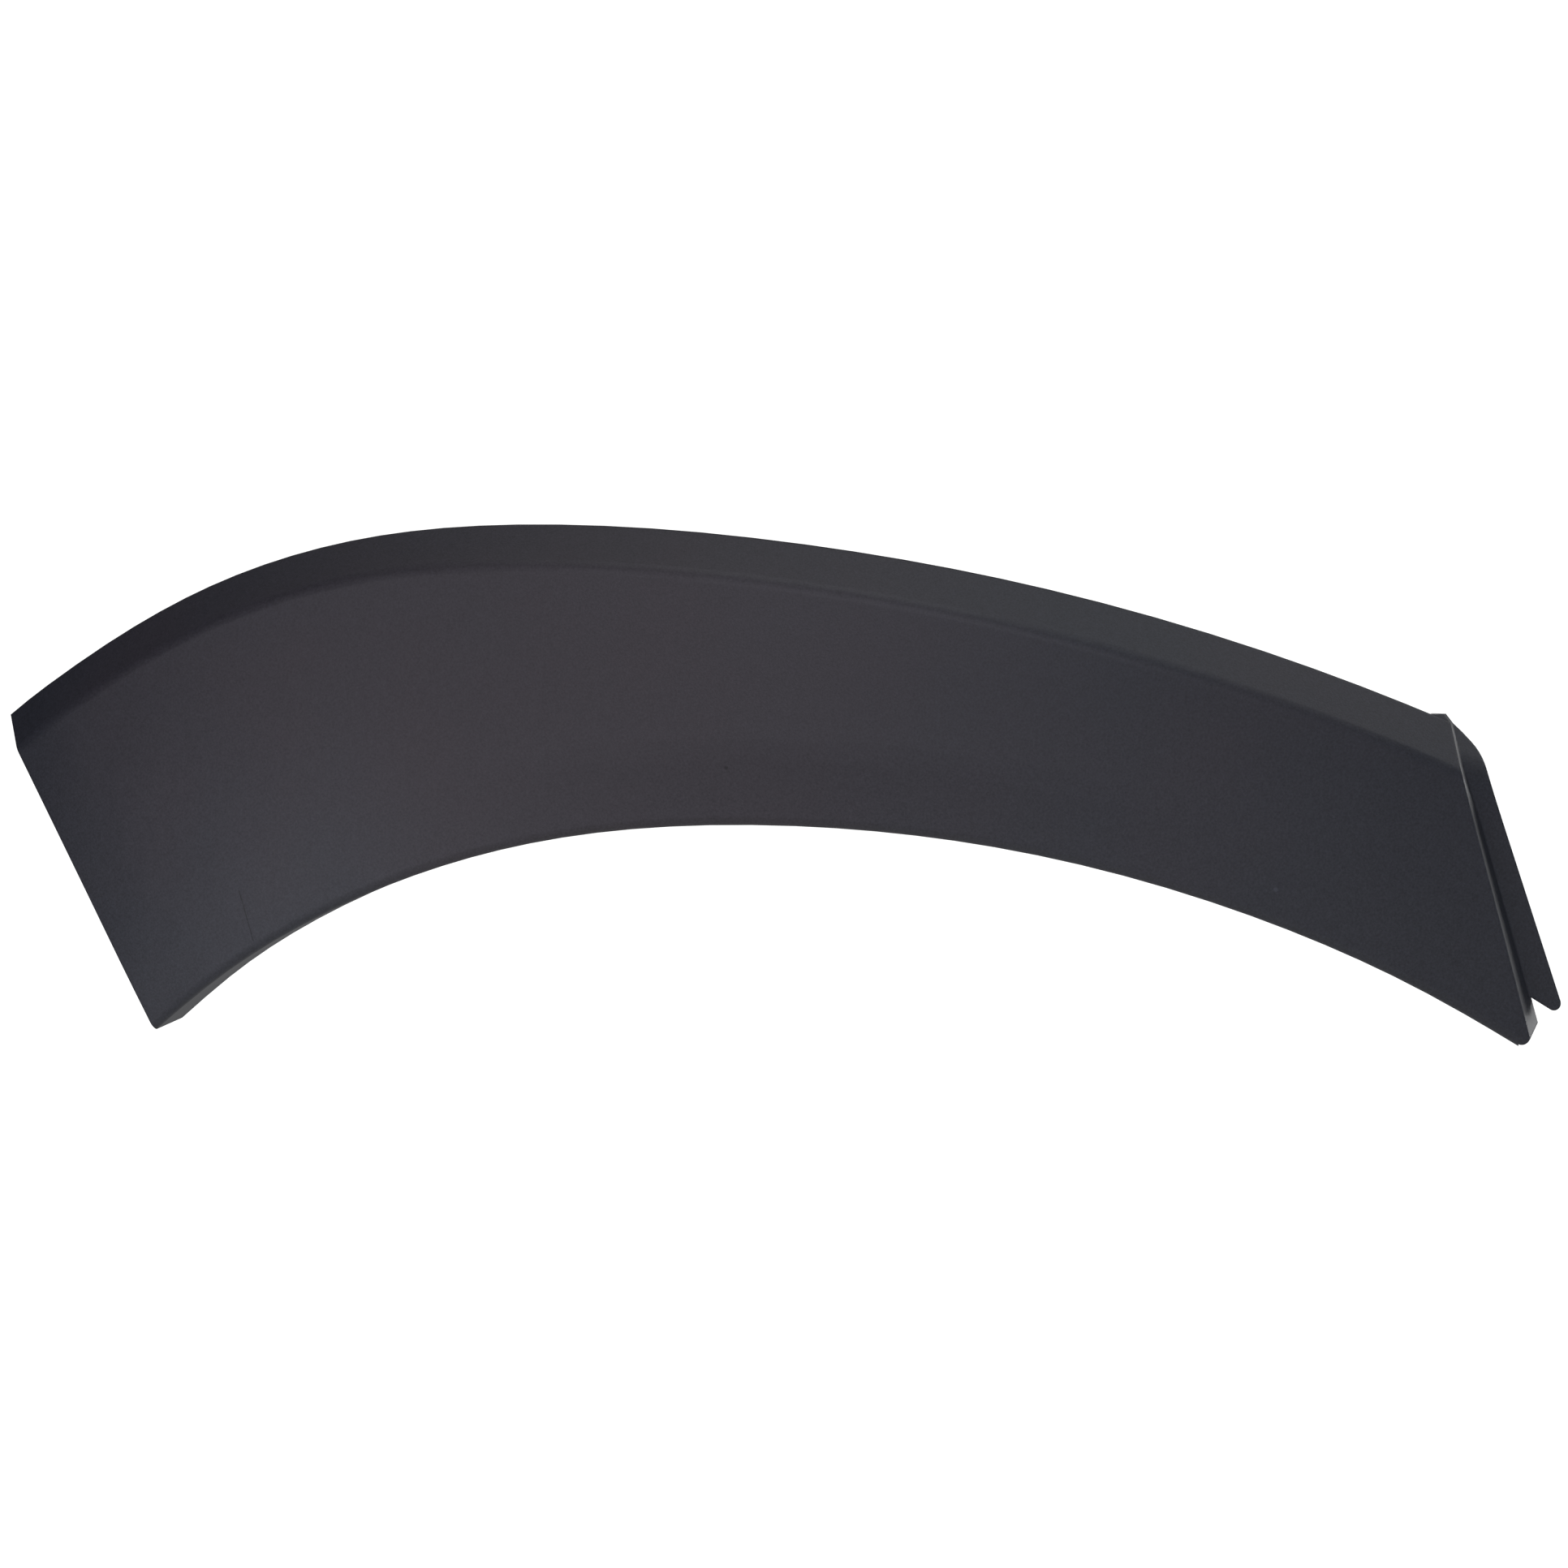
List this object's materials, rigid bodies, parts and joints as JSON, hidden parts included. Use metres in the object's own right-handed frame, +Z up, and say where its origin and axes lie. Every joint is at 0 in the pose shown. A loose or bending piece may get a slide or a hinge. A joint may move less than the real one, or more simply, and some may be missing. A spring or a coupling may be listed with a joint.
{
  "type": "quarter panel molding",
  "caption": "Arched car body molding over a rear wheel opening: thin plastic face with a bent-back top band, turned-in lip and a set-back lap flange at one end",
  "frame": {"origin": "on the axis of the crown lip screw hole, at the underside of the lip", "axes": "+X along the car to the rear, +Y inboard and away from the outer face, +Z up"},
  "size_m": [0.5357, 0.0511, 0.1728],
  "materials": {
    "textured_plastic": "dark grey moulded polypropylene with a fine even grain"
  },
  "bodies": {
    "root": {"quarter_panel_moulding": "textured_plastic"}
  },
  "joints": []
}
